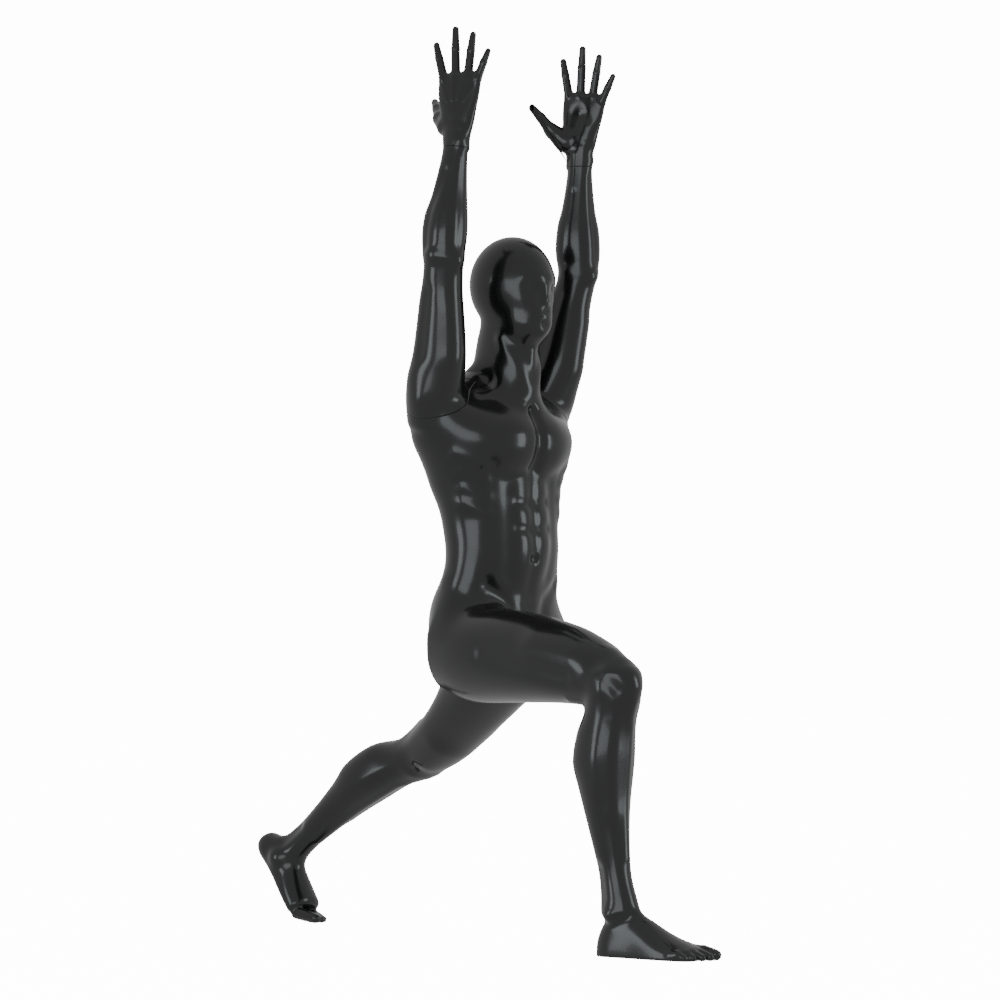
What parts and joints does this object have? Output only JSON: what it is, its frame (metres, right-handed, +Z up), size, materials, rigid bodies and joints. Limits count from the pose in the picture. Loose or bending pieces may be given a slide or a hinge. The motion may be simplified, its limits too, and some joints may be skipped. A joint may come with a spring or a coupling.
{
  "type": "display mannequin",
  "caption": "Gloss black faceless male mannequin in a high lunge with arms overhead; arms, hands and rear leg detach on turn-lock and peg fittings.",
  "frame": {"origin": "mouth of the base-rod socket in the sole of the front (right) foot, at floor level", "axes": "+Z up, -Y the way the figure faces, +X the figure's left"},
  "size_m": [0.4904, 1.5138, 1.8517],
  "materials": {
    "gloss_black_shell": "high gloss black lacquer on fibreglass",
    "birch_plywood": "raw sawn plywood",
    "zinc_plated_steel": "zinc plated"
  },
  "bodies": {
    "trunk": {"torso_shell": "gloss_black_shell", "front_leg_shell": "gloss_black_shell", "base_rod_socket": "zinc_plated_steel", "foot_block": "birch_plywood", "hip_socket": "zinc_plated_steel", "hip_socket_board": "birch_plywood", "hip_socket_screws": "zinc_plated_steel", "left_shoulder_socket": "zinc_plated_steel", "left_shoulder_board": "birch_plywood", "left_shoulder_screws": "zinc_plated_steel", "right_shoulder_socket": "zinc_plated_steel", "right_shoulder_board": "birch_plywood", "right_shoulder_screws": "zinc_plated_steel"},
    "rear_leg": {"rear_leg_shell": "gloss_black_shell", "leg_peg": "zinc_plated_steel", "leg_peg_board": "birch_plywood", "leg_peg_screws": "zinc_plated_steel"},
    "left_arm": {"left_arm_shell": "gloss_black_shell", "left_arm_stud": "zinc_plated_steel", "left_arm_board": "birch_plywood", "left_arm_screws": "zinc_plated_steel", "left_wrist_socket": "zinc_plated_steel", "left_wrist_board": "birch_plywood", "left_wrist_screws": "zinc_plated_steel"},
    "left_hand": {"left_hand": "gloss_black_shell", "left_hand_stud": "zinc_plated_steel", "left_hand_screws": "zinc_plated_steel"},
    "right_arm": {"right_arm_shell": "gloss_black_shell", "right_arm_stud": "zinc_plated_steel", "right_arm_board": "birch_plywood", "right_arm_screws": "zinc_plated_steel", "right_wrist_socket": "zinc_plated_steel", "right_wrist_board": "birch_plywood", "right_wrist_screws": "zinc_plated_steel"},
    "right_hand": {"right_hand": "gloss_black_shell", "right_hand_stud": "zinc_plated_steel", "right_hand_screws": "zinc_plated_steel"}
  },
  "joints": [
    {"name": "left_arm_turn", "type": "hinge", "parent": "trunk", "child": "left_arm", "pos_m": [0.331, 0.486, 1.093], "axis": [0.5486, -0.2494, 0.798], "range_deg": [0, 60]},
    {"name": "left_hand_turn", "type": "hinge", "parent": "left_arm", "child": "left_hand", "pos_m": [0.35774, 0.41558, 1.60201], "axis": [-0.0681, -0.0644, 0.9956], "range_deg": [0, 90]},
    {"name": "right_arm_turn", "type": "hinge", "parent": "trunk", "child": "right_arm", "pos_m": [0.005, 0.486, 1.093], "axis": [-0.5486, -0.2494, 0.798], "range_deg": [-60, 0]},
    {"name": "right_hand_turn", "type": "hinge", "parent": "right_arm", "child": "right_hand", "pos_m": [-0.02174, 0.41558, 1.60201], "axis": [0.0681, -0.0644, 0.9956], "range_deg": [-90, 0]},
    {"name": "rear_leg_pull", "type": "slide", "parent": "trunk", "child": "rear_leg", "axis": [0.7557, 0.2519, -0.6046], "range_m": [0, 0.15]}
  ]
}
